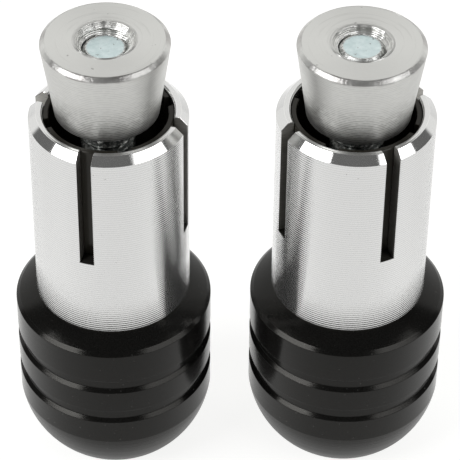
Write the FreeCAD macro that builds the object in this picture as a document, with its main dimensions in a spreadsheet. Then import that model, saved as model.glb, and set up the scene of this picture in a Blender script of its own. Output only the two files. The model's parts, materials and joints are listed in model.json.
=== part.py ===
import FreeCAD, Part
import math
import os

import Sketcher

# A pair of expanding bar end plugs, standing on their domed outer ends.
#
# Each plug is an end weight with a thin slotted shank, a slotted clamp sleeve round the shank, and
# a cone nut that a long screw draws into the shank's mouth, so that shank and sleeve spread and
# grip the inside of a tubular handlebar. The screw's head sits in a counterbore in the outer end,
# on a split lock washer.
#
# Millimetres, +Z up. The origin is on the ground, midway between the two plugs.

# ---------------------------------------------------------------- driving dimensions

DIMENSIONS = [
    ("plug_spacing", 26.7, "between the two plugs' axes, along X"),
    ("plug_stagger", 0.65, "how much further back the right plug stands, along Y"),
    # end weight, from the ground up
    ("weight_radius", 11.1, "outer wall, flush with a 22.2 handlebar"),
    ("end_flat_radius", 7.05, "flat at the tip of the dome"),
    ("dome_radius", 11.2, "arc from the wall to the end flat"),
    ("dome_height", 7.2, "where the dome meets the wall"),
    ("groove_depth", 0.43, "both turned grooves, 45 degree walls"),
    ("groove_width", 1.84, "across the mouth of a groove"),
    ("groove_top", 16.85, "upper edge of the upper groove"),
    ("groove_pitch", 4.75, "from one groove to the next"),
    ("rim_height", 21.1, "inner edge of the rim chamfer"),
    ("rim_chamfer", 0.42, "chamfer between wall and shoulder"),
    ("shoulder_radius", 14.0, "convex arc from the seat down to the rim"),
    ("seat_height", 22.3, "flat ring that the sleeve stands on"),
    ("seat_radius", 8.6, "outer edge of that ring"),
    ("shank_radius", 7.1, "outside of the slotted shank"),
    ("shank_height", 46.85, "mouth of the shank"),
    ("shank_bore_radius", 6.45, "inside of the slotted shank"),
    ("shank_bore_floor", 24.0, "bottom of the shank's bore"),
    ("shank_edge", 0.1, "small chamfers at the shank's mouth"),
    ("shank_slot_width", 1.5, "each of the shank's slots"),
    ("shank_slot_floor", 27.0, "bottom of the shank's slots"),
    ("counterbore_radius", 5.5, "pocket for the screw head"),
    ("counterbore_depth", 12.2, "from the ground to the pocket's floor"),
    ("counterbore_edge", 0.3, "chamfer at the pocket's mouth"),
    ("through_radius", 3.25, "clearance hole for the screw"),
    # clamp sleeve
    ("sleeve_radius", 8.7, "outside, slides into the handlebar"),
    ("sleeve_bore_radius", 7.15, "inside, runs on the shank"),
    ("sleeve_length", 24.9, "from its foot to its rim"),
    ("sleeve_lead", 0.85, "lead-in chamfer at the rim"),
    ("sleeve_edge", 0.2, "small chamfers inside the rim and at the foot"),
    ("sleeve_slot_width", 1.62, "each of the sleeve's slots"),
    ("sleeve_slot_floor", 10.0, "bottom of the slots above the foot"),
    ("slot_count", 4, "slots round the sleeve and round the shank"),
    # cone nut
    ("nut_top_radius", 6.95, "large end of the cone"),
    ("nut_foot_radius", 5.7, "small end of the cone"),
    ("nut_length", 9.5, "overall"),
    ("nut_top_chamfer", 0.44, "round the large end"),
    ("nut_foot_chamfer", 0.3, "round the small end"),
    ("nut_hole_radius", 2.5, "tapped hole, at the crests of its M6 thread"),
    ("nut_mouth_radius", 3.22, "countersink at the large end"),
    ("nut_height_left", 47.15, "small end above the ground, left plug"),
    ("nut_height_right", 46.65, "small end above the ground, right plug"),
    # clamp screw, M6 x 45 socket head
    ("head_radius", 5.0, "M6 socket head"),
    ("head_height", 6.0, "M6 socket head"),
    ("head_edge", 0.4, "chamfer round the head's outer face"),
    ("head_level", 4.6, "head's outer face above the ground"),
    ("socket_width", 5.0, "hexagon, across its flats"),
    ("socket_depth", 3.0, "hexagon"),
    ("screw_radius", 3.0, "plain part of the screw"),
    ("core_radius", 2.42, "threaded part, at the roots of its M6 thread"),
    ("plain_length", 21.0, "unthreaded part, from the head"),
    ("screw_length", 45.0, "under the head"),
    ("screw_tip", 0.27, "chamfer at the tip"),
    ("screw_play_left", -0.15, "loose screw, nut and washer off the left axis, along X"),
    ("screw_play_right", 0.2, "loose screw, nut and washer off the right axis, along X"),
    # lock washer
    ("washer_radius", 4.95, "outside"),
    ("washer_bore_radius", 3.1, "inside"),
    ("washer_thickness", 1.6, "flat section"),
    ("washer_gap", 1.2, "split"),
]

# How far each piece is turned about the plug's axis, in degrees.
SHANK_TURN = {"left": 17.0, "right": 65.0}
SLEEVE_TURN = {"left": 29.5, "right": -19.5}
SCREW_TURN = {"left": 12.0, "right": 41.0}
WASHER_TURN = {"left": 140.0, "right": 205.0}

# The sleeve's first slot, in degrees from its X axis, where the seam of its outer wall lies.
SLEEVE_SLOT_START = 45.0

doc = FreeCAD.newDocument("bar_end_plugs")
sheet = doc.addObject("Spreadsheet::Sheet", "Sizes")
for row, (alias, number, note) in enumerate(DIMENSIONS, start=1):
    sheet.set(f"A{row}", note)
    sheet.set(f"B{row}", str(number))
    sheet.setAlias(f"B{row}", alias)
doc.recompute()


class Size:
    """A length as its present value and the sheet formula that keeps it bound."""

    def __init__(self, value, formula):
        self.value = value
        self.formula = formula

    def __add__(self, other):
        return Size(self.value + other.value, f"({self.formula} + {other.formula})")

    def __sub__(self, other):
        return Size(self.value - other.value, f"({self.formula} - {other.formula})")

    def __mul__(self, factor):
        return Size(self.value * factor, f"({self.formula} * {factor})")


def size(alias):
    """The sheet's cell of that name."""
    return Size(float(sheet.get(alias)), f"Sizes.{alias}")


ZERO = Size(0.0, "0")


# ---------------------------------------------------------------- building blocks

def new_body(name):
    body = doc.addObject("PartDesign::Body", name)
    body.Label = name
    return body


def origin_feature(body, role):
    """One of the body's own origin planes or axes."""
    return next(f for f in body.Origin.OriginFeatures if f.Role == role)


def new_sketch(body, name, plane, level=None):
    """An empty sketch on one of the body's origin planes, raised by level where it is given."""
    sketch = body.newObject("Sketcher::SketchObject", name)
    sketch.AttachmentSupport = (origin_feature(body, plane), [""])
    sketch.MapMode = "FlatFace"
    if level is not None:
        sketch.setExpression("AttachmentOffset.Base.z", level.formula)
    return sketch


def bind(sketch, constraint, length):
    """Add a dimension to the sketch and bind it to the sheet."""
    index = sketch.addConstraint(constraint)
    sketch.setExpression(f"Constraints[{index}]", length.formula)


def arc_between(start, end, radius):
    """The short arc from start to end that bulges to the right of the way it goes."""
    chord = end - start
    across = FreeCAD.Vector(-chord.y, chord.x, 0).normalize()
    centre_gap = math.sqrt(radius**2 - (chord.Length / 2) ** 2)
    centre = (start + end) * 0.5 + across * centre_gap
    first = math.atan2(start.y - centre.y, start.x - centre.x)
    last = math.atan2(end.y - centre.y, end.x - centre.x)
    circle = Part.Circle(centre, FreeCAD.Vector(0, 0, 1), radius)
    return Part.ArcOfCircle(circle, first, last)


def outline(sketch, vertices, arcs=None):
    """A closed outline through (radius, height) vertices, counter-clockwise, every one bound.

    arcs gives the radius of the edge that leaves a vertex, for each edge that is an arc.
    """
    arcs = arcs or {}
    points = [FreeCAD.Vector(across.value, up.value, 0) for across, up in vertices]
    count = len(points)
    for number, start in enumerate(points):
        end = points[(number + 1) % count]
        if number in arcs:
            sketch.addGeometry(arc_between(start, end, arcs[number].value), False)
        else:
            sketch.addGeometry(Part.LineSegment(start, end), False)
    for number, (across, up) in enumerate(vertices):
        before = (number - 1) % count
        sketch.addConstraint(Sketcher.Constraint("Coincident", before, 2, number, 1))
        bind(sketch, Sketcher.Constraint("DistanceX", -1, 1, number, 1, across.value), across)
        if up is ZERO:
            sketch.addConstraint(Sketcher.Constraint("PointOnObject", number, 1, -1))
        else:
            bind(sketch, Sketcher.Constraint("DistanceY", -1, 1, number, 1, up.value), up)
    for number, radius in arcs.items():
        bind(sketch, Sketcher.Constraint("Radius", number, radius.value), radius)


def turned(body, name, vertices, arcs=None):
    """A solid turned about the body's Z axis from an outline in its XZ plane."""
    sketch = new_sketch(body, name + "_outline", "XZ_Plane")
    outline(sketch, vertices, arcs)
    feature = body.newObject("PartDesign::Revolution", name)
    feature.Profile = sketch
    feature.ReferenceAxis = (sketch, ["V_Axis"])
    feature.Angle = 360
    return feature


def radial_slot(body, name, width, reach, floor, start=0.0):
    """One slot from the axis outwards, start degrees from X, cut from floor to the body's top."""
    sketch = new_sketch(body, name + "_outline", "XY_Plane", floor)
    sketch.AttachmentOffset = FreeCAD.Placement(
        FreeCAD.Vector(0, 0, 0), FreeCAD.Rotation(FreeCAD.Vector(0, 0, 1), start)
    )
    half = width.value / 2
    corners = [(0, -half), (reach.value, -half), (reach.value, half), (0, half)]
    for number in range(4):
        start = FreeCAD.Vector(*corners[number], 0)
        end = FreeCAD.Vector(*corners[(number + 1) % 4], 0)
        sketch.addGeometry(Part.LineSegment(start, end), False)
    for number in range(4):
        sketch.addConstraint(Sketcher.Constraint("Coincident", number, 2, (number + 1) % 4, 1))
    sketch.addConstraint(Sketcher.Constraint("Horizontal", 0))
    sketch.addConstraint(Sketcher.Constraint("Horizontal", 2))
    sketch.addConstraint(Sketcher.Constraint("Vertical", 1))
    sketch.addConstraint(Sketcher.Constraint("Symmetric", 3, 1, 3, 2, -1, 1))
    bind(sketch, Sketcher.Constraint("DistanceX", 0, 1, 0, 2, reach.value), reach)
    bind(sketch, Sketcher.Constraint("DistanceY", 1, 1, 1, 2, width.value), width)
    pocket = body.newObject("PartDesign::Pocket", name)
    pocket.Profile = sketch
    pocket.Type = "ThroughAll"
    pocket.Reversed = True
    return pocket


def spread_round(body, name, feature, count):
    """Repeat a feature evenly round the body's Z axis."""
    pattern = body.newObject("PartDesign::PolarPattern", name)
    pattern.Originals = [feature]
    pattern.Axis = (origin_feature(body, "Z_Axis"), [""])
    pattern.Angle = 360
    pattern.setExpression("Occurrences", count.formula)
    body.Tip = pattern
    return pattern


def place(body, side, level, turn, play=ZERO):
    """Stand a piece at that level on its plug's axis, turned about it and off it by its play."""
    toward = -0.5 if side == "left" else 0.5
    body.Placement = FreeCAD.Placement(
        FreeCAD.Vector(0, 0, 0), FreeCAD.Rotation(FreeCAD.Vector(0, 0, 1), turn)
    )
    body.setExpression("Placement.Base.x", (size("plug_spacing") * toward + play).formula)
    body.setExpression("Placement.Base.y", (size("plug_stagger") * toward).formula)
    body.setExpression("Placement.Base.z", level.formula)


# ---------------------------------------------------------------- the five pieces of a plug

def end_weight(side):
    """The domed, grooved weight and its slotted shank, one turned piece."""
    body = new_body(f"{side}_end_weight")
    wall = size("weight_radius")
    chamfer = size("rim_chamfer")
    rim = size("rim_height")
    shank = size("shank_radius")
    bore = size("shank_bore_radius")
    mouth = size("shank_height")
    edge = size("shank_edge")
    pocket = size("counterbore_radius")
    pocket_edge = size("counterbore_edge")
    vertices = [
        (size("end_flat_radius"), ZERO),
        (wall, size("dome_height")),
        (wall, rim - chamfer),
        (wall - chamfer, rim),
        (size("seat_radius"), size("seat_height")),
        (shank, size("seat_height")),
        (shank, mouth - edge),
        (shank - edge, mouth),
        (bore + edge, mouth),
        (bore, mouth - edge),
        (bore, size("shank_bore_floor")),
        (size("through_radius"), size("shank_bore_floor")),
        (size("through_radius"), size("counterbore_depth")),
        (pocket, size("counterbore_depth")),
        (pocket, pocket_edge),
        (pocket + pocket_edge, ZERO),
    ]
    turned(body, "weight_blank", vertices, {0: size("dome_radius"), 3: size("shoulder_radius")})

    # Two grooves with 45 degree walls and a flat floor.
    top = size("groove_top")
    depth = size("groove_depth")
    bottom = top - size("groove_width")
    sketch = new_sketch(body, "groove_outline", "XZ_Plane")
    proud = wall + depth
    outline(
        sketch,
        [
            (wall - depth, bottom + depth),
            (wall, bottom),
            (proud, bottom),
            (proud, top),
            (wall, top),
            (wall - depth, top - depth),
        ],
    )
    groove = body.newObject("PartDesign::Groove", "groove")
    groove.Profile = sketch
    groove.ReferenceAxis = (sketch, ["V_Axis"])
    groove.Angle = 360
    grooves = body.newObject("PartDesign::LinearPattern", "grooves")
    grooves.Originals = [groove]
    grooves.Direction = (origin_feature(body, "Z_Axis"), [""])
    grooves.Reversed = True
    grooves.setExpression("Length", size("groove_pitch").formula)
    grooves.Occurrences = 2
    body.Tip = grooves

    slot = radial_slot(body, "shank_slot", size("shank_slot_width"), shank + edge,
                       size("shank_slot_floor"))
    spread_round(body, "shank_slots", slot, size("slot_count"))
    place(body, side, ZERO, SHANK_TURN[side])
    return body


def clamp_sleeve(side):
    """The slotted ring that grips the inside of the handlebar."""
    body = new_body(f"{side}_clamp_sleeve")
    outside = size("sleeve_radius")
    inside = size("sleeve_bore_radius")
    length = size("sleeve_length")
    lead = size("sleeve_lead")
    edge = size("sleeve_edge")
    vertices = [
        (inside, ZERO),
        (outside - edge, ZERO),
        (outside, edge),
        (outside, length - lead),
        (outside - lead, length),
        (inside + edge, length),
        (inside, length - edge),
    ]
    turned(body, "sleeve_blank", vertices)
    slot = radial_slot(body, "sleeve_slot", size("sleeve_slot_width"), outside + lead,
                       size("sleeve_slot_floor"), SLEEVE_SLOT_START)
    spread_round(body, "sleeve_slots", slot, size("slot_count"))
    place(body, side, size("seat_height"), SLEEVE_TURN[side])
    return body


def cone_nut(side):
    """The tapered nut, large end up, tapped and countersunk."""
    body = new_body(f"{side}_cone_nut")
    top = size("nut_top_radius")
    foot = size("nut_foot_radius")
    length = size("nut_length")
    top_chamfer = size("nut_top_chamfer")
    foot_chamfer = size("nut_foot_chamfer")
    hole = size("nut_hole_radius")
    mouth = size("nut_mouth_radius")
    vertices = [
        (hole, ZERO),
        (foot - foot_chamfer, ZERO),
        (foot, foot_chamfer),
        (top, length - top_chamfer),
        (top - top_chamfer, length),
        (mouth, length),
        (hole, length - (mouth - hole)),
    ]
    turned(body, "nut", vertices)
    place(body, side, size(f"nut_height_{side}"), 0.0, size(f"screw_play_{side}"))
    return body


def clamp_screw(side):
    """The socket head screw, head down, with its thread as a plain core."""
    body = new_body(f"{side}_clamp_screw")
    head = size("head_radius")
    head_height = size("head_height")
    head_edge = size("head_edge")
    shank = size("screw_radius")
    core = size("core_radius")
    tip = size("screw_tip")
    thread_start = head_height + size("plain_length")
    end = head_height + size("screw_length")
    vertices = [
        (ZERO, ZERO),
        (head - head_edge, ZERO),
        (head, head_edge),
        (head, head_height),
        (shank, head_height),
        (shank, thread_start - (shank - core)),
        (core, thread_start),
        (core, end - tip),
        (core - tip, end),
        (ZERO, end),
    ]
    turned(body, "screw_blank", vertices)

    # Hexagon socket, drawn on a construction circle through its corners.
    sketch = new_sketch(body, "socket_outline", "XY_Plane")
    corner_radius = size("socket_width") * round(1 / math.sqrt(3), 6)
    corners = [
        FreeCAD.Vector(
            corner_radius.value * math.cos(math.radians(60 * number)),
            corner_radius.value * math.sin(math.radians(60 * number)),
            0,
        )
        for number in range(6)
    ]
    for number in range(6):
        side_line = Part.LineSegment(corners[number], corners[(number + 1) % 6])
        sketch.addGeometry(side_line, False)
    circle = Part.Circle(FreeCAD.Vector(0, 0, 0), FreeCAD.Vector(0, 0, 1), corner_radius.value)
    sketch.addGeometry(circle, True)
    for number in range(6):
        sketch.addConstraint(Sketcher.Constraint("Coincident", number, 2, (number + 1) % 6, 1))
        sketch.addConstraint(Sketcher.Constraint("PointOnObject", number, 1, 6))
    for number in range(1, 6):
        sketch.addConstraint(Sketcher.Constraint("Equal", 0, number))
    sketch.addConstraint(Sketcher.Constraint("Coincident", 6, 3, -1, 1))
    sketch.addConstraint(Sketcher.Constraint("PointOnObject", 0, 1, -1))
    bind(sketch, Sketcher.Constraint("Radius", 6, corner_radius.value), corner_radius)
    socket = body.newObject("PartDesign::Pocket", "socket")
    socket.Profile = sketch
    socket.Type = "Length"
    socket.Reversed = True
    socket.setExpression("Length", size("socket_depth").formula)
    body.Tip = socket
    place(body, side, size("head_level"), SCREW_TURN[side], size(f"screw_play_{side}"))
    return body


def lock_washer(side):
    """The split ring between the screw's head and the floor of its pocket."""
    body = new_body(f"{side}_lock_washer")
    outside = size("washer_radius")
    inside = size("washer_bore_radius")
    thickness = size("washer_thickness")
    vertices = [
        (inside, ZERO),
        (outside, ZERO),
        (outside, thickness),
        (inside, thickness),
    ]
    turned(body, "washer_ring", vertices)
    body.Tip = radial_slot(body, "washer_split", size("washer_gap"), outside + thickness, ZERO)
    level = size("counterbore_depth") - thickness
    place(body, side, level, WASHER_TURN[side], size(f"screw_play_{side}"))
    return body


pieces = []
for plug_side in ("left", "right"):
    pieces.append(end_weight(plug_side))
    pieces.append(clamp_sleeve(plug_side))
    pieces.append(cone_nut(plug_side))
    pieces.append(clamp_screw(plug_side))
    pieces.append(lock_washer(plug_side))
doc.recompute()

# ---------------------------------------------------------------- checks and export

for item in doc.Objects:
    if "Invalid" in item.State or "Error" in item.State:
        raise RuntimeError(f"{item.Name} failed to compute: {item.State}")

# A cut that points away from the solid removes nothing, so every cut is weighed.
for item in doc.Objects:
    if item.TypeId in ("PartDesign::Pocket", "PartDesign::Groove", "PartDesign::PolarPattern",
                       "PartDesign::LinearPattern"):
        removed = item.BaseFeature.Shape.Volume - item.Shape.Volume
        if removed < 0.5:
            raise RuntimeError(f"{item.Name} removed only {removed:.3f} cubic millimetres")

os.makedirs("parts", exist_ok=True)
for piece in pieces:
    if piece.Shape.isNull() or not piece.Shape.isValid() or len(piece.Shape.Solids) != 1:
        raise RuntimeError(f"{piece.Label} is not one valid solid")
    piece.Shape.exportStep(f"parts/{piece.Label}.step")
    box = piece.Shape.BoundBox
    print(f"{piece.Label}: {piece.Shape.Volume:.1f} mm3, z {box.ZMin:.2f} to {box.ZMax:.2f}")
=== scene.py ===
import json
import math
import random

import bmesh
import bpy
from mathutils import Matrix, Vector


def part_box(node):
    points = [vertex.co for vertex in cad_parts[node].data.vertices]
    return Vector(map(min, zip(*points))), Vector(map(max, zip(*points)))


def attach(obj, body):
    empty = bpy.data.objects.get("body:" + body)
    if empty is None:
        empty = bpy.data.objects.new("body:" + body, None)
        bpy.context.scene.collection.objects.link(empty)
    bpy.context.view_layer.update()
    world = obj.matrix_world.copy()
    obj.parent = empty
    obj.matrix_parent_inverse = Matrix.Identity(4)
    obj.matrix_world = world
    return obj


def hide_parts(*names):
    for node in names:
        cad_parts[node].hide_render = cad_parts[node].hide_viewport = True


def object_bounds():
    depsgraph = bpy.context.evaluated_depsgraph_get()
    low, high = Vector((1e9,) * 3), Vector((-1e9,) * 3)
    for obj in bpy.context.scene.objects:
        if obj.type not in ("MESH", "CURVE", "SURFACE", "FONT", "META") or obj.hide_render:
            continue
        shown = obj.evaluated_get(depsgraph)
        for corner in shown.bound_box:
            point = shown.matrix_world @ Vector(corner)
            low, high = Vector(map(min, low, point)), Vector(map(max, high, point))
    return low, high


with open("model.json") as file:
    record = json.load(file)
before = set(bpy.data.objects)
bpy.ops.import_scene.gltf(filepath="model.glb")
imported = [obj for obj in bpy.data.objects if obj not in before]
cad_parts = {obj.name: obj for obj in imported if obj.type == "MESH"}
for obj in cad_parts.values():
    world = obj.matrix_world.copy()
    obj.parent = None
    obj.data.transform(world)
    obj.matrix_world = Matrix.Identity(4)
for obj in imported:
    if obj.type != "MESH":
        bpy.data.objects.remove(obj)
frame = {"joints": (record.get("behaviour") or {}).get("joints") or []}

# The bar end plugs as they look: every CAD node is replaced by a finer mesh of the same size, with
# softened corners, real threads and machining marks.
#
# Outlines are (radius, height) pairs in millimetres about a plug's own axis, with heights from the
# ground. What the frame knows is read from the frame.

cad_low, cad_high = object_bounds()

MM = 0.001
SIDES = ("left", "right")
TURN = 2 * math.pi

# ---------------------------------------------------------------- sizes, in millimetres

# end weight
END_FLAT_RADIUS = 7.05
DOME_RADIUS = 11.2
DOME_HEIGHT = 7.2
GROOVE_DEPTH = 0.43
GROOVE_WIDTH = 1.84
GROOVE_TOPS = (12.1, 16.85)
RIM_HEIGHT = 21.1
RIM_CHAMFER = 0.42
SHOULDER_RADIUS = 14.0
SEAT_RADIUS = 8.6
SHANK_RADIUS = 7.1
SHANK_BORE_RADIUS = 6.45
SHANK_BORE_FLOOR = 24.0
SHANK_EDGE = 0.1
SHANK_BURR = 0.04
SHANK_SLOT_WIDTH = 1.5
SHANK_SLOT_FLOOR = 27.0
COUNTERBORE_RADIUS = 5.5
COUNTERBORE_DEPTH = 12.2
COUNTERBORE_EDGE = 0.3
THROUGH_RADIUS = 3.25
DOME_STEPS = 16
SHOULDER_STEPS = 8

# clamp sleeve
SLEEVE_BORE_RADIUS = 7.15
SLEEVE_LEAD = 0.85
SLEEVE_EDGE = 0.2
SLEEVE_BURR = 0.05
SLEEVE_SLOT_WIDTH = 1.62
SLEEVE_SLOT_FLOOR = 10.0

# cone nut
NUT_FOOT_RADIUS = 5.7
NUT_TOP_CHAMFER = 0.44
NUT_FOOT_CHAMFER = 0.3
NUT_MOUTH_RADIUS = 3.22
NUT_MOUTH_CORNER = 0.5
NUT_TOP_CORNER = 0.24
NUT_THREAD_LEAD = 0.6
NUT_THREAD_OVERLAP = 0.2
FUNNEL_DEPTH = 0.55
FUNNEL_STEP = 0.07
FUNNEL_ROWS = 6
NUT_COLUMNS = 144

# clamp screw
HEAD_HEIGHT = 6.0
HEAD_EDGE = 0.4
KNURL_DEPTH = 0.14
KNURL_RIBS = 48
SOCKET_WIDTH = 5.0
SOCKET_DEPTH = 3.0
SOCKET_EDGE = 0.05
SOCKET_MOUTH = 0.3
DRILL_POINT = 0.8
PLAIN_RADIUS = 2.98
PLAIN_LENGTH = 21.0
TIP_CHAMFER = 0.54
TIP_FLAT_RADIUS = 1.85
TIP_SLOPE = 1.1
THREAD_RUNOUT = 0.6
CENTRE_RADIUS = 0.02
SCREW_COLUMNS = 96

# the M6 thread that screw and nut share
PITCH = 1.0
THREAD_CREST = 3.0
THREAD_ROOT = 2.42
NUT_CREST = 2.5
THREAD_GAP = 0.12
CREST_FLAT = 0.125
FLANK_WIDTH = 0.335
ROWS_PER_PITCH = 12

# lock washer
WASHER_BORE_RADIUS = 3.1
WASHER_GAP = 1.2
WASHER_STEPS = 72

# How far each piece is turned about its plug's axis, in degrees.
SHANK_TURN = {"left": 17.0, "right": 65.0}
SLEEVE_TURN = {"left": 74.5, "right": 25.5}
WASHER_TURN = {"left": 140.0, "right": 205.0}

# corner radii of the outlines where a point has none of its own
SHANK_CORNER = 0.03
WEIGHT_CORNER = 0.09
SLEEVE_CORNER = 0.05
SLEEVE_FOOT_CORNER = 0.04
NUT_CORNER = 0.07
SCREW_CORNER = 0.12
WASHER_CORNER = 0.2

# How a corner is rounded: the radius below which few steps do, the most that it takes of an edge,
# and the reach of the support points beside it, which is the lesser of a length and a share.
FINE_CORNER = 0.2
FEW_STEPS = 3
MANY_STEPS = 6
MOST_OF_EDGE = 0.4
SUPPORT_LENGTH = 0.04
SUPPORT_SHARE = 0.2

# the slots of shank and sleeve, and the mesh columns between two slots and across one
SLOT_COUNT = 4
SECTOR_STEPS = 40
SLOT_STEPS = 4
BURR_SCATTER = 0.3

# lathe marks: the anisotropy's turn for rings round Z, and the feed in millimetres
GRAIN_TURN = 0.25
FEED = 0.302

# Where a finish or a painted shade changes into another, from and to, in metres: heights above the
# ground and radii.
DOME_FINISH = (0.004, 0.0085)
SHANK_STAIN = (0.0222, 0.0226)
THREAD_GREASE_AND_SHADE = (0.030, 0.032)
THREAD_FLANK = (0.00198, 0.00206)
TIP_BRUISE = (0.0551, 0.0554)
NUT_SCORES_AND_SHADE = (0.0495, 0.0525)
NUT_MOUTH = (0.0032, 0.0035)
NUT_LIP = (0.0029, 0.0031)

# The floor's glow outside the pool and in it, and the pool's soft edges, in metres.
FLOOR_GLOW = (0.61, 0.84)
POOL_SIDE = (0.028, 0.075)
POOL_BACK = (0.080, 0.200)
POOL_FRONT = (-0.035, -0.0085)
FLOOR_SIZE = 3.0
FLOOR_DROP = 0.00002

# The camera: where it stands, in millimetres, and its angles in degrees.
CAMERA_PLACE = (-0.13, -209.87, 216.85)
VIEW_ANGLE = 10.48
VIEW_DOWN = 41.712
VIEW_ROLL = 0.722

RANGE_SOCKETS = ("From Min", "From Max", "To Min", "To Max")


# ---------------------------------------------------------------- where things are

def middle(node):
    """A turned node's axis on the ground, in metres."""
    low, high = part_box(node)
    return Vector(((low.x + high.x) / 2, (low.y + high.y) / 2, 0.0))


def span(node):
    """A node's lowest and highest level and its outer radius, in millimetres."""
    low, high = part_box(node)
    radius = max(high.x - low.x, high.y - low.y) / 2
    return low.z / MM, high.z / MM, radius / MM


def screw_axis(side):
    """The loose screw's axis on the ground, in metres, which its joint turns about."""
    joint = next(j for j in frame["joints"] if j["name"] == f"{side}_screw_turn")
    return Vector((joint["pos_m"][0], joint["pos_m"][1], 0.0))


# ---------------------------------------------------------------- outlines

def arc(start, end, radius, steps):
    """Points between start and end on the short arc that bulges to the right of its way."""
    first, last = Vector(start), Vector(end)
    chord = last - first
    across = Vector((-chord.y, chord.x)).normalized()
    centre = (first + last) / 2 + across * math.sqrt(radius**2 - (chord.length / 2) ** 2)
    begin = math.atan2(first.y - centre.y, first.x - centre.x)
    sweep = 2 * math.asin(chord.length / 2 / radius)
    points = []
    for step in range(1, steps):
        angle = begin + sweep * step / steps
        points.append((centre.x + radius * math.cos(angle), centre.y + radius * math.sin(angle)))
    return points


def soften(outline, corner, closed=True, least_turn=5.0):
    """Round the outline's corners. Gives (radius, height, wear), wear being 1 on a rounded corner.

    A point's third number, where it has one, is its own corner radius.
    """
    count = len(outline)
    softened = []
    for number, here in enumerate(outline):
        point = Vector(here[:2])
        if not closed and number in (0, count - 1):
            softened.append((point.x, point.y, 0.0))
            continue
        before = Vector(outline[number - 1][:2]) - point
        after = Vector(outline[(number + 1) % count][:2]) - point
        turn = math.pi - before.angle(after)
        if math.degrees(turn) < least_turn:
            softened.append((point.x, point.y, 0.0))
            continue
        own_corner = here[2] if len(here) > 2 else corner
        steps = FEW_STEPS if own_corner < FINE_CORNER else MANY_STEPS
        reach = min(
            own_corner * math.tan(turn / 2),
            before.length * MOST_OF_EDGE,
            after.length * MOST_OF_EDGE,
        )
        start = point + before.normalized() * reach
        end = point + after.normalized() * reach
        support = reach + min(SUPPORT_LENGTH, reach * SUPPORT_SHARE)
        lead_in = point + before.normalized() * support
        lead_out = point + after.normalized() * support
        softened.append((lead_in.x, lead_in.y, 0.0))
        for step in range(steps + 1):
            share = step / steps
            bent = start.lerp(point, share).lerp(point.lerp(end, share), share)
            softened.append((bent.x, bent.y, 1.0))
        softened.append((lead_out.x, lead_out.y, 0.0))
    return softened


def inset(rows, distance):
    """The rows of an open outline, each moved to the left of the way it goes."""
    moved = []
    for number, (radius, height, _) in enumerate(rows):
        before = rows[max(number - 1, 0)]
        after = rows[min(number + 1, len(rows) - 1)]
        along = Vector((after[0] - before[0], after[1] - before[1])).normalized()
        moved.append((radius - along.y * distance, height + along.x * distance))
    return moved


# ---------------------------------------------------------------- meshes

def finish_mesh(name, mesh_data, where, material, sharp_angle=32.0):
    """Turn a bmesh into an object at where, smooth except across its sharp edges."""
    bmesh.ops.recalc_face_normals(mesh_data, faces=mesh_data.faces)
    mesh = bpy.data.meshes.new(name)
    mesh_data.to_mesh(mesh)
    mesh_data.free()
    mesh.shade_smooth()
    mesh.set_sharp_from_angle(angle=math.radians(sharp_angle))
    mesh.materials.append(material)
    piece = bpy.data.objects.new(name, mesh)
    piece.location = where
    bpy.context.scene.collection.objects.link(piece)
    return piece


def point_at(radius, height, angle):
    return Vector((radius * math.cos(angle), radius * math.sin(angle), height)) * MM


def turned_mesh(rows, columns, radius_at=None, closed=True):
    """A skin turned about the Z axis. radius_at(row, angle) may vary a row's radius round it.

    closed joins the last row to the first, and otherwise both end rows are capped.
    """
    mesh_data = bmesh.new()
    wear_layer = mesh_data.verts.layers.float.new("wear")
    grid = []
    for row in rows:
        ring = []
        for column in range(columns):
            angle = TURN * column / columns
            radius = radius_at(row, angle) if radius_at else row[0]
            vertex = mesh_data.verts.new(point_at(radius, row[1], angle))
            vertex[wear_layer] = row[2]
            ring.append(vertex)
        grid.append(ring)
    last = len(grid) if closed else len(grid) - 1
    for number in range(last):
        lower = grid[number]
        upper = grid[(number + 1) % len(grid)]
        for column in range(columns):
            beside = (column + 1) % columns
            mesh_data.faces.new((lower[column], lower[beside], upper[beside], upper[column]))
    if not closed:
        mesh_data.faces.new(grid[0])
        mesh_data.faces.new(grid[-1])
    return mesh_data


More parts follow.
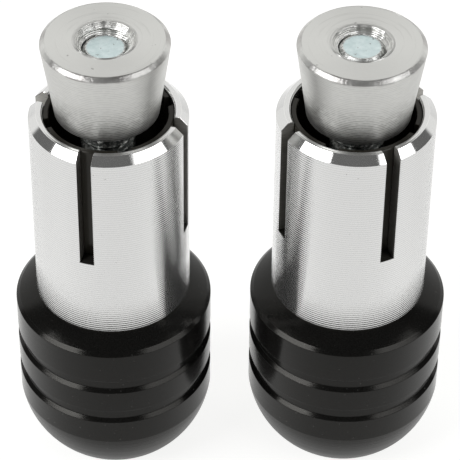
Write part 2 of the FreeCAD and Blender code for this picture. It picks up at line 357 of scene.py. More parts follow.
def slotted_mesh(upper, lower, slot_width, burr, seed):
    """A turned skin with slots cut down into it.

    upper runs from the slots' floor up the outside, over the mouth and down the inside to the
    floor; lower goes on from there down the inside and back up the outside. burr is the broken
    edge's width.
    """
    chance = random.Random(seed)
    pitch = TURN / SLOT_COUNT
    mesh_data = bmesh.new()
    wear_layer = mesh_data.verts.layers.float.new("wear")
    cut_layer = mesh_data.faces.layers.float.new("cut")

    def vertex_at(radius, height, angle, wear):
        vertex = mesh_data.verts.new(point_at(radius, height, angle))
        vertex[wear_layer] = wear
        return vertex

    def half_slot(radius, reach):
        return math.asin(reach / radius)

    def sector_ring(row, sector):
        """One sector's vertices of a row, from just past one slot to just before the next."""
        edge = half_slot(row[0], slot_width / 2 + burr)
        start = sector * pitch + edge
        sweep = pitch - 2 * edge
        return [
            vertex_at(row[0], row[1], start + sweep * step / SECTOR_STEPS, row[2])
            for step in range(SECTOR_STEPS + 1)
        ]

    def slot_ring(row, sector):
        """The vertices of a row that lie across the slot before a sector."""
        edge = half_slot(row[0], slot_width / 2 + burr)
        return [
            vertex_at(row[0], row[1], sector * pitch + edge * (2 * step / SLOT_STEPS - 1), row[2])
            for step in range(1, SLOT_STEPS)
        ]

    ring_rows = [upper[-1]] + lower + [upper[0]]
    sectors = [[sector_ring(row, k) for row in ring_rows] for k in range(SLOT_COUNT)]
    slots = [[slot_ring(row, k) for row in ring_rows] for k in range(SLOT_COUNT)]
    rings = []
    for number in range(len(ring_rows)):
        ring = []
        for k in range(SLOT_COUNT):
            ring += slots[k][number] + sectors[k][number]
        rings.append(ring)
    for below, above in zip(rings, rings[1:]):
        for column in range(len(below)):
            beside = (column + 1) % len(below)
            mesh_data.faces.new((below[column], below[beside], above[beside], above[column]))

    caps = {}
    for k in range(SLOT_COUNT):
        grid = [sectors[k][-1]]
        grid += [sector_ring(row, k) for row in upper[1:-1]]
        grid += [sectors[k][0]]
        for below, above in zip(grid, grid[1:]):
            for column in range(SECTOR_STEPS):
                mesh_data.faces.new(
                    (below[column], below[column + 1], above[column + 1], above[column])
                )
        for end, column in (("start", 0), ("end", SECTOR_STEPS)):
            cap = []
            for radius, height in inset(upper, burr):
                scatter = chance.uniform(-BURR_SCATTER, BURR_SCATTER) * burr
                wall = half_slot(radius, slot_width / 2 + scatter)
                angle = k * pitch + wall if end == "start" else (k + 1) * pitch - wall
                cap.append(vertex_at(radius, height, angle, 1.0))
            for number in range(len(upper) - 1):
                mesh_data.faces.new(
                    (grid[number][column], grid[number + 1][column], cap[number + 1], cap[number])
                )
            mesh_data.faces.new(cap)[cut_layer] = 1.0
            caps[(k, end)] = cap

    for k in range(SLOT_COUNT):
        before = (k - 1) % SLOT_COUNT
        floor = [sectors[before][-1][-1]] + slots[k][-1] + [sectors[k][-1][0]]
        floor += [caps[(k, "start")][0], caps[(k, "start")][-1]]
        floor += [sectors[k][0][0]] + slots[k][0][::-1] + [sectors[before][0][-1]]
        floor += [caps[(before, "end")][-1], caps[(before, "end")][0]]
        mesh_data.faces.new(floor)[cut_layer] = 2.0
    return mesh_data


def ridge(height, angle):
    """How far the shared helix stands out at a place, 1 on its crest and 0 between its turns."""
    turns = height / PITCH - angle / TURN
    off_crest = abs(turns - math.floor(turns) - 0.5) * PITCH
    return min(1.0, max(0.0, (CREST_FLAT / 2 + FLANK_WIDTH - off_crest) / FLANK_WIDTH))


# ---------------------------------------------------------------- material nodes

class Nodes:
    """A material's node tree, with short calls for the nodes that every material here uses."""

    def __init__(self, name):
        self.material = bpy.data.materials.new(name)
        self.material.use_nodes = True
        self.tree = self.material.node_tree
        self.shader = self.tree.nodes["Principled BSDF"]

    def link(self, socket, value):
        """Wire a socket to another, or set it to a plain value."""
        if isinstance(value, bpy.types.NodeSocket):
            self.tree.links.new(value, socket)
        else:
            socket.default_value = value

    def math(self, operation, first, second=0.0):
        node = self.tree.nodes.new("ShaderNodeMath")
        node.operation = operation
        self.link(node.inputs[0], first)
        self.link(node.inputs[1], second)
        return node.outputs[0]

    def combine(self, x, y, z):
        node = self.tree.nodes.new("ShaderNodeCombineXYZ")
        for socket, value in zip(node.inputs, (x, y, z)):
            self.link(socket, value)
        return node.outputs[0]

    def noise(self, vector, scale, detail=2.0, roughness=0.5):
        node = self.tree.nodes.new("ShaderNodeTexNoise")
        self.link(node.inputs["Vector"], vector)
        node.inputs["Scale"].default_value = scale
        node.inputs["Detail"].default_value = detail
        node.inputs["Roughness"].default_value = roughness
        return node.outputs["Fac"]

    def ramp(self, value, low, high, start, end):
        """Map low..high onto start..end, and hold it there outside."""
        node = self.tree.nodes.new("ShaderNodeMapRange")
        self.link(node.inputs["Value"], value)
        for name, number in zip(RANGE_SOCKETS, (low, high, start, end)):
            node.inputs[name].default_value = number
        return node.outputs["Result"]

    def mix(self, share, first, second):
        node = self.tree.nodes.new("ShaderNodeMix")
        node.data_type = "RGBA"
        self.link(node.inputs["Factor"], share)
        self.link(node.inputs["A"], first)
        self.link(node.inputs["B"], second)
        return node.outputs["Result"]

    def bump(self, height, distance, onto=None):
        node = self.tree.nodes.new("ShaderNodeBump")
        self.link(node.inputs["Height"], height)
        node.inputs["Distance"].default_value = distance
        if onto is not None:
            self.link(node.inputs["Normal"], onto)
        return node.outputs["Normal"]

    def brushed(self, anisotropy):
        """Stretch the gloss across the rings that turning leaves round the Z axis."""
        self.shader.inputs["Anisotropic"].default_value = anisotropy
        self.shader.inputs["Anisotropic Rotation"].default_value = GRAIN_TURN
        node = self.tree.nodes.new("ShaderNodeTangent")
        node.direction_type = "RADIAL"
        node.axis = "Z"
        self.link(self.shader.inputs["Tangent"], node.outputs["Tangent"])

    def facing_up(self):
        """How far the surface faces up, -1 to 1."""
        normal = self.tree.nodes.new("ShaderNodeTexCoord").outputs["Normal"]
        split = self.tree.nodes.new("ShaderNodeSeparateXYZ")
        self.link(split.inputs[0], normal)
        return split.outputs[2]

    def on_chamfer(self):
        """1 on a surface that faces half up and half out, 0 on walls and tops."""
        level = self.facing_up()
        above_wall = self.ramp(level, 0.35, 0.6, 0, 1)
        below_top = self.ramp(level, 0.8, 0.95, 1, 0)
        return self.math("MULTIPLY", above_wall, below_top)

    def painted(self, name):
        """A number stored on the mesh.

        wear is 1 on a softened corner; cut is 1 on a slot's walls and 2 on its floor.
        """
        node = self.tree.nodes.new("ShaderNodeAttribute")
        node.attribute_name = name
        return node.outputs["Fac"]

    def turned_coordinates(self):
        """The place on a turned piece: object coordinates, radius and height in metres, the way
        along the profile in millimetres, and the direction from the axis as x and y.

        A noise that changes fast along the profile and slowly with the direction gives the rings
        that a lathe tool leaves. The way along the profile stands still across an outer 45 degree
        chamfer, which stays bright.
        """
        place = self.tree.nodes.new("ShaderNodeTexCoord").outputs["Object"]
        split = self.tree.nodes.new("ShaderNodeSeparateXYZ")
        self.link(split.inputs[0], place)
        x, y, z = split.outputs
        squared = self.math("ADD", self.math("MULTIPLY", x, x), self.math("MULTIPLY", y, y))
        radius = self.math("MAXIMUM", self.math("SQRT", squared), 1e-5)
        along = self.math("DIVIDE", self.math("ADD", radius, z), MM)
        round_x = self.math("DIVIDE", x, radius)
        round_y = self.math("DIVIDE", y, radius)
        return place, radius, z, along, round_x, round_y

    def feed_marks(self, along, round_x, round_y, pitch):
        """The regular screw-like marks of the lathe's feed, -1 to 1, pitch in millimetres."""
        drift = self.noise(self.combine(round_x, round_y, self.math("MULTIPLY", along, 0.12)), 1.0)
        shifted = self.math("ADD", along, self.math("MULTIPLY", drift, pitch * 0.3))
        return self.math("SINE", self.math("MULTIPLY", shifted, TURN / pitch))

    def tool_lines(self, along, round_x, round_y, fineness, breaks=0.7):
        """Irregular rings, fineness of them to the millimetre. More breaks, shorter lines."""
        vector = self.combine(
            self.math("MULTIPLY", round_x, breaks),
            self.math("MULTIPLY", round_y, breaks),
            self.math("MULTIPLY", along, fineness),
        )
        return self.noise(vector, 1.0, detail=3.0, roughness=0.6)


def turned_aluminium():
    """Bright turned aluminium of the clamp sleeves: fine feed marks, and a glossier chamfer."""
    nodes = Nodes("turned_aluminium")
    place, radius, height, along, round_x, round_y = nodes.turned_coordinates()
    lines = nodes.tool_lines(along, round_x, round_y, 9.0)
    feed = nodes.feed_marks(along, round_x, round_y, FEED)
    groove = nodes.ramp(feed, -1.0, 0.2, 1.0, 0.0)
    smudge = nodes.noise(place, 260.0, detail=3.0)
    dust = nodes.noise(place, 2600.0, detail=1.0)
    across_wall = nodes.math("MULTIPLY", radius, 900.0)
    up_wall = nodes.math("MULTIPLY", height, 9000.0)
    saw_marks = nodes.noise(nodes.combine(across_wall, 0.0, up_wall), 1.0)
    wear = nodes.painted("wear")
    cut = nodes.painted("cut")
    shader = nodes.shader
    shader.inputs["Metallic"].default_value = 0.94
    nodes.brushed(0.8)
    on_wall = nodes.ramp(nodes.facing_up(), 0.2, 0.4, 1.0, 0.0)
    tint = nodes.mix(lines, (0.765, 0.765, 0.76, 1), (0.79, 0.79, 0.785, 1))
    grooved = nodes.mix(nodes.math("MULTIPLY", groove, on_wall), tint, (0.71, 0.71, 0.705, 1))
    dusty = nodes.mix(nodes.ramp(dust, 0.77, 0.82, 0.0, 0.5), grooved, (0.35, 0.34, 0.32, 1))
    edged = nodes.mix(wear, dusty, (0.88, 0.88, 0.87, 1))
    sawn = nodes.mix(saw_marks, (0.20, 0.19, 0.17, 1), (0.74, 0.73, 0.70, 1))
    # Painted shade: the slot floor is painted near black for the shade at the bottom of the slots.
    sawn_and_shaded = nodes.mix(nodes.ramp(cut, 1, 2, 0, 1), sawn, (0.05, 0.047, 0.042, 1))
    nodes.link(shader.inputs["Base Color"], nodes.mix(nodes.ramp(cut, 0, 1, 0, 1), edged, sawn_and_shaded))
    base = nodes.ramp(lines, 0.3, 0.7, 0.14, 0.155)
    smudged = nodes.math("ADD", base, nodes.ramp(smudge, 0.45, 0.75, 0.0, 0.03))
    rough_groove = nodes.math("MULTIPLY", nodes.math("MULTIPLY", groove, on_wall), 0.04)
    polish = nodes.math("MULTIPLY", nodes.on_chamfer(), -0.055)
    finish = nodes.math("ADD", nodes.math("ADD", smudged, rough_groove), polish)
    rough_cut = nodes.ramp(cut, 0, 1, 0, 0.33)
    nodes.link(shader.inputs["Roughness"], nodes.math("ADD", finish, rough_cut))
    ripple = nodes.bump(lines, 0.0000005)
    nodes.link(shader.inputs["Normal"], nodes.bump(feed, 0.0000085, ripple))
    return nodes.material


def plain_aluminium():
    """Plain turned aluminium of the cone nuts: a little matt, with broken scores round it, and
    painted shade: sides darker than the top, the lower half darker still.
    """
    nodes = Nodes("plain_aluminium")
    place, radius, height, along, round_x, round_y = nodes.turned_coordinates()
    lines = nodes.tool_lines(along, round_x, round_y, 4.0, breaks=9.0)
    feed = nodes.feed_marks(along, round_x, round_y, FEED)
    cloud = nodes.noise(place, 420.0, detail=4.0)
    chips = nodes.noise(place, 2400.0, detail=3.0)
    pits = nodes.noise(place, 1900.0, detail=1.0)
    wear = nodes.painted("wear")
    shader = nodes.shader
    shader.inputs["Metallic"].default_value = 1.0
    nodes.brushed(0.4)
    side = nodes.ramp(nodes.facing_up(), -0.3, 0.3, 1.0, 0.0)
    # Painted shade: low on the side, dark scores darken the nut's lower half. The scores are real
    # marks, and their weight low down is painted shade.
    low = nodes.math("MULTIPLY", side, nodes.ramp(height, *NUT_SCORES_AND_SHADE, 1.0, 0.25))
    tint = nodes.mix(cloud, (0.68, 0.68, 0.66, 1), (0.78, 0.78, 0.76, 1))
    rings = nodes.tool_lines(along, round_x, round_y, 3.5)
    ringed = nodes.mix(nodes.ramp(rings, 0.58, 0.66, 0.0, 0.35), tint, (0.58, 0.58, 0.56, 1))
    # Painted shade: the side walls are painted darker than the top.
    shaded = nodes.mix(nodes.math("MULTIPLY", side, 0.75), ringed, (0.63, 0.63, 0.61, 1))
    thin_line = nodes.ramp(lines, 0.66, 0.44, 0.0, 1.0)
    score = nodes.math("MULTIPLY", thin_line, nodes.ramp(feed, -1, 0.5, 1, 0))
    lined_and_shaded = nodes.mix(nodes.math("MULTIPLY", low, score), shaded, (0.13, 0.125, 0.12, 1))
    pitted = nodes.mix(nodes.ramp(pits, 0.77, 0.81, 0.0, 0.6), lined_and_shaded, (0.30, 0.29, 0.28, 1))
    mouth = nodes.ramp(radius, *NUT_MOUTH, 1.0, 0.0)
    edge = nodes.math("MAXIMUM", wear, nodes.on_chamfer())
    patches = nodes.ramp(cloud, 0.35, 0.65, 0, 1)
    mottled = nodes.mix(patches, (0.46, 0.45, 0.44, 1), (0.78, 0.78, 0.76, 1))
    edged = nodes.mix(edge, pitted, mottled)
    ragged = nodes.math("ADD", radius, nodes.math("MULTIPLY", cloud, 0.0002))
    lip = nodes.ramp(ragged, *NUT_LIP, 0, 1)
    funnel = nodes.mix(lip, (0.95, 0.95, 0.93, 1), (0.70, 0.70, 0.68, 1))
    nodes.link(shader.inputs["Base Color"], nodes.mix(mouth, edged, funnel))
    torn = nodes.math("MULTIPLY", mouth, 0.02)
    matt = nodes.ramp(cloud, 0.3, 0.7, 0.36, 0.44)
    nodes.link(shader.inputs["Roughness"], nodes.math("ADD", matt, torn))
    flutes = nodes.noise(nodes.combine(round_x, round_y, 2.1), 2.0, detail=0.0)
    texture = nodes.bump(chips, 0.000008)
    ridges = nodes.bump(nodes.math("MULTIPLY", feed, mouth), 0.00001, texture)
    chatter = nodes.bump(nodes.math("MULTIPLY", flutes, mouth), 0.0005, ridges)
    scores = nodes.bump(nodes.math("MULTIPLY", lines, low), 0.000025, chatter)
    chipped = nodes.bump(nodes.math("MULTIPLY", chips, edge), 0.00003, scores)
    pit_depth = nodes.ramp(pits, 0.75, 0.82, 0, -1)
    nodes.link(shader.inputs["Normal"], nodes.bump(pit_depth, 0.00001, chipped))
    return nodes.material


def black_anodised():
    """Satin black anodising of the end weights, with the turning marks showing through."""
    nodes = Nodes("black_anodised")
    place, radius, height, _, round_x, round_y = nodes.turned_coordinates()
    across = nodes.math("DIVIDE", nodes.math("SUBTRACT", radius, height), MM)
    lines = nodes.tool_lines(across, round_x, round_y, 7.0)
    grain = nodes.noise(place, 9000.0, detail=2.0)
    cloud = nodes.noise(place, 180.0, detail=3.0)
    dust = nodes.noise(place, 3100.0, detail=1.0)
    wear = nodes.painted("wear")
    shader = nodes.shader
    shader.inputs["IOR"].default_value = 1.295
    shader.inputs["Specular Tint"].default_value = (1.0, 0.98, 0.93, 1)
    clouded = nodes.mix(cloud, (0.002, 0.002, 0.002, 1), (0.006, 0.0058, 0.0052, 1))
    dye = nodes.mix(nodes.ramp(grain, 0.4, 0.6, 0, 0.5), clouded, (0.012, 0.0116, 0.011, 1))
    shank = nodes.ramp(height, *SHANK_STAIN, 0.0, 1.0)
    stained = nodes.mix(shank, dye, (0.022, 0.020, 0.016, 1))
    dusty = nodes.mix(nodes.ramp(dust, 0.74, 0.80, 0.0, 0.35), stained, (0.12, 0.12, 0.115, 1))
    worn = nodes.math("MULTIPLY", wear, nodes.ramp(cloud, 0.40, 0.70, 0.0, 0.35))
    nodes.link(shader.inputs["Base Color"], nodes.mix(worn, dusty, (0.06, 0.06, 0.06, 1)))
    satin = nodes.ramp(lines, 0.3, 0.7, 0.12, 0.19)
    dome = nodes.ramp(height, *DOME_FINISH, 0.22, 0.0)
    nodes.link(shader.inputs["Roughness"], nodes.math("ADD", satin, dome))
    normal = nodes.bump(lines, 0.000008)
    nodes.link(shader.inputs["Normal"], nodes.bump(grain, 0.0000016, normal))
    return nodes.material


def zinc_steel():
    """Blue zinc plating of the screws and lock washers, dark along the thread: partly greased,
    partly painted shade.
    """
    nodes = Nodes("zinc_steel")
    place, radius, height = nodes.turned_coordinates()[:3]
    cloud = nodes.noise(place, 1200.0, detail=4.0)
    pits = nodes.noise(place, 2600.0, detail=1.0)
    grain = nodes.noise(place, 8000.0, detail=2.0)
    wear = nodes.painted("wear")
    shader = nodes.shader
    shader.inputs["Metallic"].default_value = 1.0
    clouded = nodes.ramp(cloud, 0.3, 0.7, 0, 1)
    tint = nodes.mix(clouded, (0.60, 0.72, 0.73, 1), (0.84, 0.95, 0.96, 1))
    pitted = nodes.mix(nodes.ramp(pits, 0.72, 0.77, 0.0, 0.8), tint, (0.24, 0.22, 0.20, 1))
    chips = nodes.noise(place, 3200.0, detail=3.0)
    # Painted shade: the thread is painted dark along its length, partly greased and partly the
    # shade of the nut and bore over it. Lighter specks break it up.
    up_thread = nodes.ramp(height, *THREAD_GREASE_AND_SHADE, 0.0, 0.88)
    greased_and_shaded = nodes.math("MULTIPLY", up_thread, nodes.ramp(radius, *THREAD_FLANK, 0.0, 1.0))
    thread_specks = nodes.ramp(chips, 0.50, 0.62, 0, 1)
    grease_and_shade = nodes.mix(thread_specks, (0.06, 0.055, 0.045, 1), (0.42, 0.41, 0.38, 1))
    bare = nodes.ramp(chips, 0.42, 0.56, 0, 1)
    bruised = nodes.mix(bare, (0.30, 0.29, 0.28, 1), (0.86, 0.86, 0.84, 1))
    near_tip = nodes.ramp(height, *TIP_BRUISE, 0.0, 1.0)
    thread = nodes.mix(greased_and_shaded, pitted, nodes.mix(near_tip, grease_and_shade, bruised))
    rubbed = nodes.math("MULTIPLY", wear, nodes.ramp(chips, 0.44, 0.56, 0.1, 0.9))
    nodes.link(shader.inputs["Base Color"], nodes.mix(rubbed, thread, (0.80, 0.80, 0.78, 1)))
    nodes.link(shader.inputs["Roughness"], nodes.ramp(cloud, 0.3, 0.7, 0.34, 0.46))
    uneven = nodes.bump(nodes.math("MULTIPLY", chips, nodes.ramp(wear, 0, 1, 0.12, 1)), 0.00016)
    normal = nodes.bump(grain, 0.000002, uneven)
    pit_depth = nodes.ramp(pits, 0.70, 0.78, 0, -1)
    nodes.link(shader.inputs["Normal"], nodes.bump(pit_depth, 0.00002, normal))
    return nodes.material


# ---------------------------------------------------------------- the five pieces of a plug

def settle(piece, side, node, body):
    """Let the piece stand for its CAD node and ride on its body."""
    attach(piece, f"{side}_{body}")
    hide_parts(f"{side}_{node}")


def end_weight(side, material):
    node = f"{side}_end_weight"
    ground, mouth, wall = span(node)
    seat = span(f"{side}_clamp_sleeve")[0]
    lower = [
        (SHANK_BORE_RADIUS, SHANK_BORE_FLOOR),
        (THROUGH_RADIUS, SHANK_BORE_FLOOR),
        (THROUGH_RADIUS, COUNTERBORE_DEPTH),
        (COUNTERBORE_RADIUS, COUNTERBORE_DEPTH),
        (COUNTERBORE_RADIUS, COUNTERBORE_EDGE),
        (COUNTERBORE_RADIUS + COUNTERBORE_EDGE, ground),
        (END_FLAT_RADIUS, ground),
    ]
    lower += arc((END_FLAT_RADIUS, ground), (wall, DOME_HEIGHT), DOME_RADIUS, DOME_STEPS)
    lower.append((wall, DOME_HEIGHT))
    for top in GROOVE_TOPS:
        bottom = top - GROOVE_WIDTH
        floor = wall - GROOVE_DEPTH
        lower += [(wall, bottom), (floor, bottom + GROOVE_DEPTH)]
        lower += [(floor, top - GROOVE_DEPTH), (wall, top)]
    rim = (wall - RIM_CHAMFER, RIM_HEIGHT)
    lower += [(wall, RIM_HEIGHT - RIM_CHAMFER), rim]
    lower += arc(rim, (SEAT_RADIUS, seat), SHOULDER_RADIUS, SHOULDER_STEPS)
    lower += [(SEAT_RADIUS, seat), (SHANK_RADIUS, seat)]
    upper = [
        (SHANK_RADIUS, SHANK_SLOT_FLOOR),
        (SHANK_RADIUS, mouth - SHANK_EDGE),
        (SHANK_RADIUS - SHANK_EDGE, mouth),
        (SHANK_BORE_RADIUS + SHANK_EDGE, mouth),
        (SHANK_BORE_RADIUS, mouth - SHANK_EDGE),
        (SHANK_BORE_RADIUS, SHANK_SLOT_FLOOR),
    ]
    upper_rows = soften(upper, SHANK_CORNER, closed=False)
    whole = [upper[-1]] + lower + [upper[0]]
    lower_rows = soften(whole, WEIGHT_CORNER, closed=False)[1:-1]
    mesh = slotted_mesh(upper_rows, lower_rows, SHANK_SLOT_WIDTH, SHANK_BURR, seed=side)
    mesh.transform(Matrix.Rotation(math.radians(SHANK_TURN[side]), 4, "Z"))
    piece = finish_mesh(f"{side}_weight_skin", mesh, middle(node), material)
    settle(piece, side, "end_weight", "weight")


def clamp_sleeve(side, material):
    node = f"{side}_clamp_sleeve"
    foot, rim, outside = span(node)
    upper = [
        (outside, foot + SLEEVE_SLOT_FLOOR),
        (outside, rim - SLEEVE_LEAD),
        (outside - SLEEVE_LEAD, rim),
        (SLEEVE_BORE_RADIUS + SLEEVE_EDGE, rim),
        (SLEEVE_BORE_RADIUS, rim - SLEEVE_EDGE),
        (SLEEVE_BORE_RADIUS, foot + SLEEVE_SLOT_FLOOR),
    ]
    lower = [
        (SLEEVE_BORE_RADIUS, foot),
        (outside - SLEEVE_EDGE, foot),
        (outside, foot + SLEEVE_EDGE),
    ]
    upper_rows = soften(upper, SLEEVE_CORNER, closed=False)
    whole = [upper[-1]] + lower + [upper[0]]
    lower_rows = soften(whole, SLEEVE_FOOT_CORNER, closed=False)[1:-1]
    mesh = slotted_mesh(upper_rows, lower_rows, SLEEVE_SLOT_WIDTH, SLEEVE_BURR, seed=side)
    mesh.transform(Matrix.Rotation(math.radians(SLEEVE_TURN[side]), 4, "Z"))
    piece = finish_mesh(f"{side}_sleeve_skin", mesh, middle(node), material)
    settle(piece, side, "clamp_sleeve", "sleeve")


def cone_nut(side, material):
    node = f"{side}_cone_nut"
    foot, top, widest = span(node)
    sink = top - (NUT_MOUTH_RADIUS - NUT_CREST)
    funnel = [
        (NUT_CREST + FUNNEL_DEPTH - FUNNEL_STEP * step, sink + FUNNEL_DEPTH - FUNNEL_STEP * step)
        for step in range(FUNNEL_ROWS)
    ]
    outside = soften(
        [
            (NUT_CREST + NUT_THREAD_LEAD, foot),
            (NUT_FOOT_RADIUS - NUT_FOOT_CHAMFER, foot),
            (NUT_FOOT_RADIUS, foot + NUT_FOOT_CHAMFER),
            (widest, top - NUT_TOP_CHAMFER, NUT_TOP_CORNER),
            (widest - NUT_TOP_CHAMFER, top, NUT_TOP_CORNER),
            (NUT_MOUTH_RADIUS, top, NUT_MOUTH_CORNER),
            *funnel,
        ],
        NUT_CORNER,
        closed=False,
    )
    rows = list(outside)
    start = sink + NUT_THREAD_OVERLAP
    length = start - foot - NUT_THREAD_LEAD
    steps = int(length / PITCH * ROWS_PER_PITCH)
    for step in range(steps + 1):
        rows.append((NUT_CREST, start - length * step / steps, 0.0))

    def radius_at(row, angle):
        """The thread's groove where it is deeper than the plain outline."""
        if row[0] > THREAD_CREST + THREAD_GAP:
            return row[0]
        groove = THREAD_ROOT + THREAD_GAP + (THREAD_CREST - THREAD_ROOT) * ridge(row[1], angle)
        return max(row[0], groove, NUT_CREST + row[1] - sink)

    mesh = turned_mesh(rows, NUT_COLUMNS, radius_at)
    piece = finish_mesh(f"{side}_nut_skin", mesh, screw_axis(side), material)
    settle(piece, side, "cone_nut", "nut")


def clamp_screw(side, material):
    node = f"{side}_clamp_screw"
    face, tip, head = span(node)
    apothem = SOCKET_WIDTH / 2
    under_head = face + HEAD_HEIGHT
    thread_start = under_head + PLAIN_LENGTH
    rows = [
        (CENTRE_RADIUS, face + SOCKET_DEPTH + DRILL_POINT, 0.0),
        (apothem - SOCKET_EDGE, face + SOCKET_DEPTH, 0.0),
        (apothem, face + SOCKET_DEPTH - SOCKET_EDGE, 0.0),
        (apothem, face + 0.35, 0.0),
        (apothem + SOCKET_MOUTH, face, 1.0),
    ]
    body = [
        (apothem + 1.0, face),
        (head - HEAD_EDGE, face),
        (head, face + HEAD_EDGE),
        (head, under_head),
        (PLAIN_RADIUS, under_head),
        (PLAIN_RADIUS, thread_start - THREAD_RUNOUT),
    ]
    rows += soften(body, SCREW_CORNER, closed=False)
    steps = int((tip - thread_start) / PITCH * ROWS_PER_PITCH)
    for step in range(steps + 1):
        rows.append((THREAD_ROOT, thread_start + (tip - thread_start) * step / steps, 0.0))
    rows.append((THREAD_ROOT - TIP_CHAMFER / 2, tip, 1.0))
    rows.append((TIP_FLAT_RADIUS, tip, 0.0))
    rows.append((CENTRE_RADIUS, tip - 0.02, 0.0))

    def radius_at(row, angle):
        """The hexagon in the socket, the head's knurl, and the thread up to the chamfered tip.

        The hexagon's corners stand at 30 degrees on both screws. The CAD turns each screw's
        hexagon by an angle of its own, which this model doesn't follow.
        """
        radius, height = row[0], row[1]
        if height < face + SOCKET_DEPTH + 0.1 and 2.0 < radius < apothem + 0.35:
            off_flat = (angle + math.radians(30)) % math.radians(60) - math.radians(30)
            if radius <= apothem:
                return radius / math.cos(off_flat)
            return max(radius, apothem / math.cos(off_flat) + 0.02)
        if radius >= head - 0.001 and face + 1.0 < height + 0.6 < under_head:
            return radius - KNURL_DEPTH * abs(math.sin(angle * KNURL_RIBS / 2))
        if radius != THREAD_ROOT:
            return radius
        stand_out = (THREAD_CREST - THREAD_ROOT) * ridge(height, angle)
        chamfer = THREAD_ROOT - TIP_CHAMFER / 2 + (tip - height) * TIP_SLOPE
        return min(THREAD_ROOT + stand_out, max(chamfer, 0.5))

    mesh = turned_mesh(rows, SCREW_COLUMNS, radius_at, closed=False)
    piece = finish_mesh(f"{side}_screw_skin", mesh, screw_axis(side), material)
    settle(piece, side, "clamp_screw", "screw")


def lock_washer(side, material):
    """A split ring of rectangular wire with softened corners."""
    node = f"{side}_lock_washer"
    bottom, top, outside = span(node)
    corners = [
        (WASHER_BORE_RADIUS, bottom),
        (outside, bottom),
        (outside, top),
        (WASHER_BORE_RADIUS, top),
    ]
    rows = soften(corners, WASHER_CORNER)
    mesh_data = bmesh.new()
    wear_layer = mesh_data.verts.layers.float.new("wear")
    half_gap = math.asin(WASHER_GAP / 2 / outside)
    rings = []
    for step in range(WASHER_STEPS + 1):
        angle = half_gap + (TURN - 2 * half_gap) * step / WASHER_STEPS
        ring = []
        for radius, height, wear in rows:
            vertex = mesh_data.verts.new(point_at(radius, height, angle))
            vertex[wear_layer] = wear
            ring.append(vertex)
        rings.append(ring)
    for here, there in zip(rings, rings[1:]):
        for number in range(len(rows)):
            beside = (number + 1) % len(rows)
            mesh_data.faces.new((here[number], here[beside], there[beside], there[number]))
    mesh_data.faces.new(rings[0])
    mesh_data.faces.new(rings[-1])
    mesh_data.transform(Matrix.Rotation(math.radians(WASHER_TURN[side]), 4, "Z"))
    piece = finish_mesh(f"{side}_washer_skin", mesh_data, screw_axis(side), material)
    settle(piece, side, "lock_washer", "weight")


black = black_anodised()
bright = turned_aluminium()
plain = plain_aluminium()
zinc = zinc_steel()
for plug_side in SIDES:
    end_weight(plug_side, black)
    clamp_sleeve(plug_side, bright)
    cone_nut(plug_side, plain)
    clamp_screw(plug_side, zinc)
    lock_washer(plug_side, zinc)


# ---------------------------------------------------------------- floor, light and camera

def studio_floor():
    """A wide pale floor that glows, and glows more in a pool where the camera sees it.

    The plugs mirror the floor outside the pool, which the photo shows darker than what the
    camera sees of the floor itself.
    """
    nodes = Nodes("studio_floor")
    place = nodes.tree.nodes.new("ShaderNodeTexCoord").outputs["Object"]
    cloud = nodes.noise(place, 6.0)
    nodes.link(
        nodes.shader.inputs["Base Color"],
        nodes.mix(cloud, (0.36, 0.36, 0.36, 1), (0.39, 0.39, 0.39, 1)),
    )
    split = nodes.tree.nodes.new("ShaderNodeSeparateXYZ")
    nodes.link(split.inputs[0], place)
    x, y = split.outputs[0], split.outputs[1]
    beside = nodes.ramp(nodes.math("ABSOLUTE", x, 0.0), *POOL_SIDE, 1.0, 0.0)
    behind = nodes.ramp(y, *POOL_BACK, 1.0, 0.0)
    before = nodes.ramp(y, *POOL_FRONT, 0.0, 1.0)
    lit = nodes.math("MULTIPLY", nodes.math("MULTIPLY", beside, behind), before)
    nodes.shader.inputs["Emission Color"].default_value = (1.0, 1.0, 0.99, 1)
    glow = nodes.ramp(lit, 0.0, 1.0, *FLOOR_GLOW)
    nodes.link(nodes.shader.inputs["Emission Strength"], glow)
    nodes.shader.inputs["Roughness"].default_value = 0.9
    nodes.shader.inputs["Specular IOR Level"].default_value = 0.1
    mesh_data = bmesh.new()
    bmesh.ops.create_grid(mesh_data, x_segments=8, y_segments=8, size=FLOOR_SIZE)
    mesh = bpy.data.meshes.new("studio_floor")
    mesh_data.to_mesh(mesh)
    mesh_data.free()
    mesh.materials.append(nodes.material)
    floor = bpy.data.objects.new("studio_floor", mesh)
    floor.location = (0.0, 0.0, cad_low.z - FLOOR_DROP)
    bpy.context.scene.collection.objects.link(floor)


def soft_box(name, azimuth, elevation, distance, width, height, brightness):
    """A rectangular light that faces the plugs. Azimuth 0 is the camera's side, 90 the right."""
    light = bpy.data.lights.new(name, "AREA")
    light.shape = "RECTANGLE"
    light.size = width
    light.size_y = height
    light.energy = brightness * math.pi * width * height
    lamp = bpy.data.objects.new(name, light)
    around, up = math.radians(azimuth), math.radians(elevation)
    level = math.cos(up)
    away = Vector((math.sin(around) * level, -math.cos(around) * level, math.sin(up)))
    lamp.location = Vector((0, 0, 0.035)) + away * distance
    lamp.rotation_euler = away.to_track_quat("Z", "Y").to_euler()
    lamp.visible_camera = False
    bpy.context.scene.collection.objects.link(lamp)


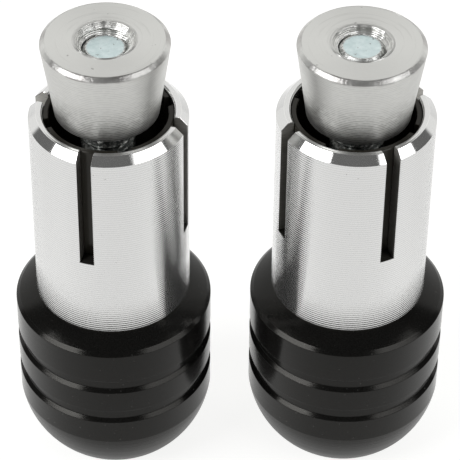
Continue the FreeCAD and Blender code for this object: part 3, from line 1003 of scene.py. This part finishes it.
def studio_world():
    """A dim room, lighter behind the plugs and darker overhead."""
    world = bpy.data.worlds.new("studio_world")
    world.use_nodes = True
    tree = world.node_tree
    tree.nodes["Background"].inputs["Color"].default_value = (1.0, 1.0, 0.985, 1)
    direction = tree.nodes.new("ShaderNodeTexCoord")
    split = tree.nodes.new("ShaderNodeSeparateXYZ")
    tree.links.new(direction.outputs["Generated"], split.inputs[0])

    def ramp(value, low, high, start, end):
        node = tree.nodes.new("ShaderNodeMapRange")
        node.interpolation_type = "SMOOTHSTEP"
        tree.links.new(value, node.inputs["Value"])
        for name, number in zip(RANGE_SOCKETS, (low, high, start, end)):
            node.inputs[name].default_value = number
        return node.outputs["Result"]

    backward = ramp(split.outputs["Y"], 0.36, 0.50, 0.0, 1.0)
    below_top = ramp(split.outputs["Z"], 0.78, 0.95, 1.0, 0.0)
    product = tree.nodes.new("ShaderNodeMath")
    product.operation = "MULTIPLY"
    tree.links.new(backward, product.inputs[0])
    tree.links.new(below_top, product.inputs[1])
    strength = ramp(product.outputs[0], 0.0, 1.0, 0.12, 0.92)
    tree.links.new(strength, tree.nodes["Background"].inputs["Strength"])
    bpy.context.scene.world = world


studio_floor()
studio_world()
soft_box(
    "left_box", azimuth=-62.5, elevation=38, distance=1.2, width=0.76, height=0.46, brightness=6.5
)
soft_box(
    "right_box", azimuth=63.5, elevation=38, distance=1.2, width=0.90, height=0.46, brightness=2.8
)

# The camera stands in front of the pair, higher up, and looks down at it.
camera_data = bpy.data.cameras.new("camera")
camera_data.sensor_width = 36.0
camera_data.angle = math.radians(VIEW_ANGLE)
camera_data.clip_start = 0.01
camera_data.clip_end = 20.0
camera = bpy.data.objects.new("camera", camera_data)
tilt = Matrix.Rotation(math.radians(90.0 - VIEW_DOWN), 4, "X")
roll = Matrix.Rotation(math.radians(VIEW_ROLL), 4, "Z")
camera.matrix_world = Matrix.Translation(Vector(CAMERA_PLACE) * MM) @ tilt @ roll
bpy.context.scene.collection.objects.link(camera)
bpy.context.scene.camera = camera
bpy.context.scene.view_settings.view_transform = "Standard"
